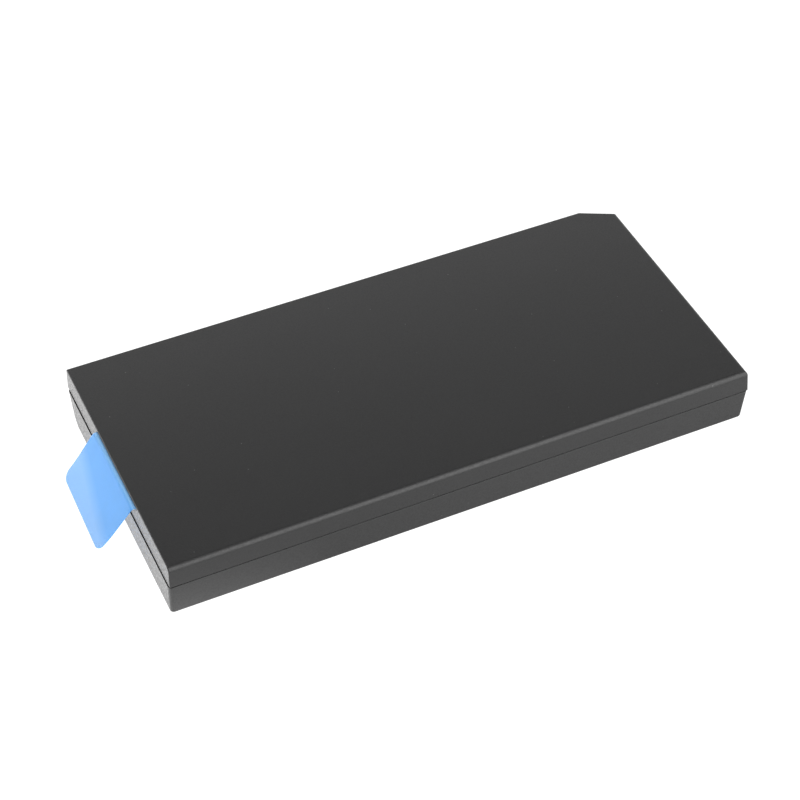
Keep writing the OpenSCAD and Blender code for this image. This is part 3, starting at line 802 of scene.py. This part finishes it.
def end_gape():
    """Cutter for the wider gap between the two halves along the tab end."""
    near, far = SEAM_GAP / 2, GAPE / 2
    lower = [(GAPE_END[0], -near), (GAPE_FLAT[0], -far), (GAPE_FLAT[1], -far), (GAPE_END[1], -near)]
    outline = lower + [(y, -z) for y, z in reversed(lower)]
    ends = (-HALF_L + WALL - LIP - LIP_FIT + 0.02, -HALF_L - 0.5)
    return loft([[(x, y, SEAM + z) for y, z in outline] for x in ends])


LABEL_LOW, LABEL_HIGH = box_mm("rating_label")
LABEL_CORNER = 2
LABEL_ROOM = 0.3
LABEL_SOFT = 0.04


def label_recess():
    """Cutter for the shallow recess in the base that takes the label."""
    middle = (LABEL_LOW + LABEL_HIGH) / 2
    size = LABEL_HIGH - LABEL_LOW
    outline = round_box(size.x + 2 * LABEL_ROOM, size.y + 2 * LABEL_ROOM, LABEL_CORNER)
    return loft([[(middle.x + a, middle.y + b, z) for a, b in outline] for z in (-0.5, LABEL_HIGH.z)])


def board_posts():
    """Posts under the roof that hold the board down."""
    levels = (BOARD_HIGH.z + POST_GAP, ROOF + OVERLAP)
    return [loft([disc(x, POST_Y, POST_R, z) for z in levels]) for x in POSTS_X]


def make_cover(material):
    """Moulded cover: a hollow shell with ribs and posts inside and the slot for the film."""
    points, faces = loft(cover_cavity() + cover_outside())
    cover = mesh_object("cover_shell", points, faces, material)
    combine(cover, valley_ribs(ROOF - RIB_H, ROOF + OVERLAP) + board_posts(), "UNION")
    for cutter in (film_slot(), end_gape()):
        combine(cover, [cutter], "DIFFERENCE")
    smooth(cover)
    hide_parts("upper_cover")
    return cover


def make_case(material):
    """Moulded lower case: a hollow shell with ribs, rails and pins inside, and a lip round its rim."""
    points, faces = loft(case_outside() + case_inside())
    case = mesh_object("case_shell", points, faces, material)
    combine(case, valley_ribs(ROOT, SKIN + RIB_H) + board_supports() + board_pins() + pin_tips(), "UNION")
    for cutter in (socket_pocket(), lip_notch(), end_gape(), label_recess()):
        combine(case, [cutter], "DIFFERENCE")
    smooth(case)
    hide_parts("lower_case")
    return case


# ---------------------------------------------------------------- film and label

# The film inside the slot: how far it hangs down behind the end wall, and its turn into the slot
FILM_LEG = 8
FILM_TURN = 0.6
FILM_ROOT = -HALF_L + 0.4
# The level run out of the slot, its change at the back edge, and the radius of the bend after it
FILM_RUN = 0.55
FILM_RUN_SKEW = -0.1
FILM_BEND = 1.2
# Angle of the hang after the bend, and its change at the back edge, in degrees
FILM_DROOP = 52.2
FILM_TWIST = 1.9
# Lift of the tip, in degrees. It starts this far past the bend, and grows over the same length again.
FILM_CURL = -8
FILM_CURL_FROM = 8
FILM_CURL_MOST = 1.2
FILM_CURL_POWER = 1.3
# Length past the root, and the round corners of the tip
FILM_LENGTH = 19.6
FILM_CORNER = 3.3
FILM_CORNER_NEAR = 2.7
FILM_SOFT = 0.05
# Step of the sum that follows the curve, and the numbers of columns and rows of the mesh
FILM_STEP = 0.1
FILM_COLUMNS = 28
TURN_ROWS = 6
BEND_ROWS = 19
BEND_ROW = 0.08
FLAT_ROWS = 22
CORNER_ROWS = 12


def film_angle(run, side):
    """How far the film points below level, in radians, at a run past its root. side goes from -1 to 1."""
    droop = math.radians(FILM_DROOP + FILM_TWIST * side)
    past_slot = run - FILM_RUN - FILM_RUN_SKEW * side
    bent = min(droop, max(0.0, past_slot / FILM_BEND))
    outer = max(0.0, past_slot - FILM_BEND * droop - FILM_CURL_FROM) / FILM_CURL_FROM
    return bent + math.radians(FILM_CURL) * min(FILM_CURL_MOST, outer) ** FILM_CURL_POWER


def film_point(run, y):
    """Point on the film's middle surface, run past its root and y from its centre line."""
    side = y / (FILM_WIDTH / 2)
    count = max(1, math.ceil(run / FILM_STEP))
    step = run / count
    x, z = FILM_ROOT, FILM_Z
    for k in range(count):
        angle = film_angle((k + 0.5) * step, side)
        x -= step * math.cos(angle)
        z -= step * math.sin(angle)
    return Vector((x, FILM_MIDDLE + y, z))


def film_half_width(run, corner):
    """Distance from the film's centre line to an edge that ends in a corner of this radius."""
    into_corner = run - (FILM_LENGTH - corner)
    if into_corner <= 0:
        return FILM_WIDTH / 2
    return FILM_WIDTH / 2 - corner + math.sqrt(max(0, corner ** 2 - into_corner ** 2))


def film_points():
    """Rows of points across the film, from the foot of its anchor to its tip."""
    across = [-1 + 2 * k / FILM_COLUMNS for k in range(FILM_COLUMNS + 1)]
    leg_x = ANCHOR_HIGH.x - FILM_T / 2
    anchor = [(leg_x, FILM_Z - FILM_LEG), (leg_x, FILM_Z - FILM_LEG / 2)]
    for k in range(TURN_ROWS + 1):
        angle = math.pi / 2 * k / TURN_ROWS
        anchor.append((leg_x - FILM_TURN * (1 - math.cos(angle)), FILM_Z - FILM_TURN * (1 - math.sin(angle))))
    rows = [[Vector((x, FILM_MIDDLE + side * FILM_WIDTH / 2, z)) for side in across] for x, z in anchor]
    bend_start = 0.4
    bend_end = bend_start + BEND_ROW * BEND_ROWS
    straight = FILM_LENGTH - FILM_CORNER
    runs = [0, bend_start / 2, bend_start]
    runs += [bend_start + BEND_ROW * k for k in range(1, BEND_ROWS + 1)]
    runs += [bend_end + (straight - bend_end) * k / FLAT_ROWS for k in range(1, FLAT_ROWS + 1)]
    quarter = [math.pi / 2 * k / CORNER_ROWS for k in range(1, CORNER_ROWS + 1)]
    runs += [straight + FILM_CORNER * math.sin(angle) for angle in quarter]
    for run in runs:
        near = film_half_width(run, FILM_CORNER_NEAR)
        far = film_half_width(run, FILM_CORNER)
        rows.append([film_point(run, side * (near if side < 0 else far)) for side in across])
    return rows


def make_film(material):
    """One film from its anchor behind the end wall, through the slot and over the fold, to its tip."""
    rows = film_points()
    width = len(rows[0])
    points = [p for row in rows for p in row]
    faces = []
    for k in range(len(rows) - 1):
        for i in range(width - 1):
            a = k * width + i
            faces.append((a, a + 1, a + width + 1, a + width))
    film = mesh_object("pull_film", points, faces, material)
    thick = film.modifiers.new("thickness", "SOLIDIFY")
    thick.thickness = FILM_T * MM
    thick.offset = 0
    thick.use_even_offset = True
    edge = film.modifiers.new("edge", "BEVEL")
    edge.width = FILM_SOFT * MM
    edge.segments = 2
    edge.limit_method = "ANGLE"
    edge.angle_limit = math.radians(50)
    graph = bpy.context.evaluated_depsgraph_get()
    result = bpy.data.meshes.new_from_object(film.evaluated_get(graph))
    film.modifiers.clear()
    film.data = result
    smooth(film, 50)
    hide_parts("pull_tab", "pull_tab_anchor")
    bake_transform(film)


def make_label(material):
    """Blank label: a thin sheet with round corners and a softened edge."""
    middle = (LABEL_LOW + LABEL_HIGH) / 2
    size = LABEL_HIGH - LABEL_LOW
    loops = []
    for z, inset in ((LABEL_LOW.z, LABEL_SOFT), (LABEL_LOW.z + LABEL_SOFT, 0), (LABEL_HIGH.z, 0)):
        outline = round_box(size.x - 2 * inset, size.y - 2 * inset, LABEL_CORNER - inset)
        loops.append([(middle.x + a, middle.y + b, z) for a, b in outline])
    points, faces = loft(loops)
    label = mesh_object("blank_label", points, faces, material)
    smooth(label, 30)
    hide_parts("rating_label")
    return label


# ---------------------------------------------------------------- finish of the CAD nodes

# Width of the broken edges on the CAD nodes that have them
BEVELS = {
    "socket_housing": 0.12,
    "socket_contacts": 0.04,
    "circuit_board": 0.06,
    "foam_block": 0.6,
    "gauge_chip": 0.1,
    "power_mosfets": 0.12,
    "sense_resistor": 0.08,
    "chemical_fuse": 0.12,
    "ceramic_capacitors": 0.08,
    "chip_resistors": 0.05,
    "thermal_cutoff": 0.15,
    "negative_strip": 0.03,
    "series_strip_1": 0.03,
    "series_strip_2": 0.03,
    "positive_strip": 0.03,
    "negative_lead": 0.05,
    "positive_lead": 0.05,
    "solder_joints": 0.12,
}


def finish_nodes(materials):
    """Gives each CAD node its slot's material, and breaks the edges of the moulded and pressed ones."""
    for part in frame["record"]["subparts"]:
        node = NODES[part["node"]]
        node.data.materials.clear()
        node.data.materials.append(materials[part["material_slot"]])
        if part["node"] in BEVELS:
            bevel = node.modifiers.new("edges", "BEVEL")
            bevel.width = BEVELS[part["node"]] * MM
            bevel.segments = 2
            bevel.limit_method = "ANGLE"
            bevel.angle_limit = math.radians(40)


# ---------------------------------------------------------------- stage, light and camera

# Brightness of the white that the camera sees, and half the side of the floor
BACKDROP_WHITE = 1.2
FLOOR_HALF = 4000

# The floor's glow: its level, and the edges of the brighter patch by the tab end. The patch rises between
# two distances to the left, fades out between two more, and sets in between two depths.
GLOW_LOW = 0.36
GLOW_HIGH = 2.3
GLOW_START = 45
GLOW_END = 110
FADE_START = 170
FADE_END = 330
GLOW_FRONT = -64
GLOW_BACK = -38

# Heights of the sky, from 0 at the horizon to 1 overhead, and its brightness at each
SKY = ((0.0, 0.14), (0.999, 0.12))


def white_to_camera(material):
    """Lets the camera see plain white where every other ray sees the material."""
    nodes, links = material.node_tree.nodes, material.node_tree.links
    output = nodes["Material Output"]
    own = output.inputs["Surface"].links[0].from_socket
    path = nodes.new("ShaderNodeLightPath")
    white = nodes.new("ShaderNodeEmission")
    white.inputs["Strength"].default_value = BACKDROP_WHITE
    mix = nodes.new("ShaderNodeMixShader")
    links.new(path.outputs["Is Camera Ray"], mix.inputs["Fac"])
    links.new(own, mix.inputs[1])
    links.new(white.outputs["Emission"], mix.inputs[2])
    links.new(mix.outputs["Shader"], output.inputs["Surface"])


def make_floor():
    """A plain floor: white to the camera, with a soft glow that lights the tab end of the case."""
    s = Surface("floor_white", (0.5, 0.5, 0.5), 0.9)
    s.shade(s.noise(400), 0.01)
    s.set("Specular IOR Level", 0.0)
    left = s.math("MULTIPLY", s.axis(0), -1)
    near_end = s.remap(left, GLOW_START * MM, GLOW_END * MM, 0, GLOW_HIGH - GLOW_LOW)
    behind = s.remap(s.axis(1), GLOW_FRONT * MM, GLOW_BACK * MM, 0, 1)
    fade = s.remap(left, FADE_START * MM, FADE_END * MM, 1, 0)
    patch = s.math("MULTIPLY", near_end, s.math("MULTIPLY", behind, fade))
    s.feed("Emission Strength", s.math("ADD", patch, GLOW_LOW))
    s.set("Emission Color", (1, 1, 1, 1))
    points = [(x * FLOOR_HALF, y * FLOOR_HALF, 0) for x, y in ((-1, -1), (1, -1), (1, 1), (-1, 1))]
    white_to_camera(s.material)
    floor = mesh_object("studio_floor", points, [(0, 1, 2, 3)], s.material)


def make_world():
    """Dim studio surroundings, nearly even from the horizon to overhead."""
    world = bpy.data.worlds.new("studio")
    bpy.context.scene.world = world
    world.use_nodes = True
    nodes, links = world.node_tree.nodes, world.node_tree.links
    direction = nodes.new("ShaderNodeTexCoord")
    split = nodes.new("ShaderNodeSeparateXYZ")
    ramp = nodes.new("ShaderNodeValToRGB")
    links.new(direction.outputs["Generated"], split.inputs["Vector"])
    links.new(split.outputs["Z"], ramp.inputs["Fac"])
    for stop, (position, level) in zip(ramp.color_ramp.elements, SKY):
        stop.position = position
        stop.color = (level, level, level, 1)
    links.new(ramp.outputs["Color"], nodes["Background"].inputs["Color"])
    nodes["Background"].inputs["Strength"].default_value = 1.0


def area_light(name, place, aim, size, power):
    """A soft rectangular light at place, in millimetres, turned towards aim."""
    data = bpy.data.lights.new(name, "AREA")
    data.shape = "RECTANGLE"
    data.size, data.size_y = size[0] * MM, size[1] * MM
    data.energy = power
    light = bpy.data.objects.new(name, data)
    light.location = Vector(place) * MM
    light.rotation_mode = "QUATERNION"
    light.rotation_quaternion = (Vector(aim) - Vector(place)).to_track_quat("-Z", "Y")
    light.visible_camera = False
    bpy.context.scene.collection.objects.link(light)


def make_lights():
    """A large key from the front right, a weak one overhead, and fill for the back and the tab end."""
    area_light("key", (190, -500, 330), (0, 0, 10), (800, 760), 6.2)
    area_light("overhead", (40, -170, 620), (0, 0, 10), (1000, 520), 0.9)
    area_light("back_wall", (60, 320, 150), (60, 0, 150), (1400, 300), 1.75)
    area_light("left_wall", (-440, 280, 160), (-108, 0, 12), (420, 220), 0.6)


def make_camera():
    """A long lens from above the front left, aimed at the middle of the case."""
    azimuth = math.radians(-25.065)
    elevation = math.radians(44.919)
    roll = math.radians(0.204)
    distance = 704.17
    aim = Vector((-3.56, -1.95, 10.15))
    side, rise = math.sin(azimuth), math.cos(azimuth)
    flat, high = math.cos(elevation), math.sin(elevation)
    back = Vector((side * flat, -rise * flat, high))
    level = Vector((rise, side, 0))
    above = back.cross(level)
    right = level * math.cos(roll) + above * math.sin(roll)
    up = back.cross(right)
    data = bpy.data.cameras.new("camera")
    data.lens = 96.37
    data.sensor_width = 36
    data.clip_start, data.clip_end = 0.01, 20
    camera = bpy.data.objects.new("camera", data)
    turn = Matrix((right, up, back)).transposed().to_4x4()
    camera.matrix_world = Matrix.Translation((aim + back * distance) * MM) @ turn
    bpy.context.scene.collection.objects.link(camera)
    bpy.context.scene.camera = camera


def make_stage():
    """Floor, surroundings, lights and camera, with colours shown as they are."""
    make_floor()
    make_world()
    make_lights()
    make_camera()
    view = bpy.context.scene.view_settings
    view.view_transform = "Standard"
    view.look = "None"


# ---------------------------------------------------------------- assembly

materials = slot_materials()
finish_nodes(materials)
for make, slot in ((make_cover, "case_plastic"), (make_case, "case_plastic"), (make_label, "label_film")):
    piece = make(materials[slot])
    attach(piece, "pack")
make_film(materials["tab_film"])
make_stage()
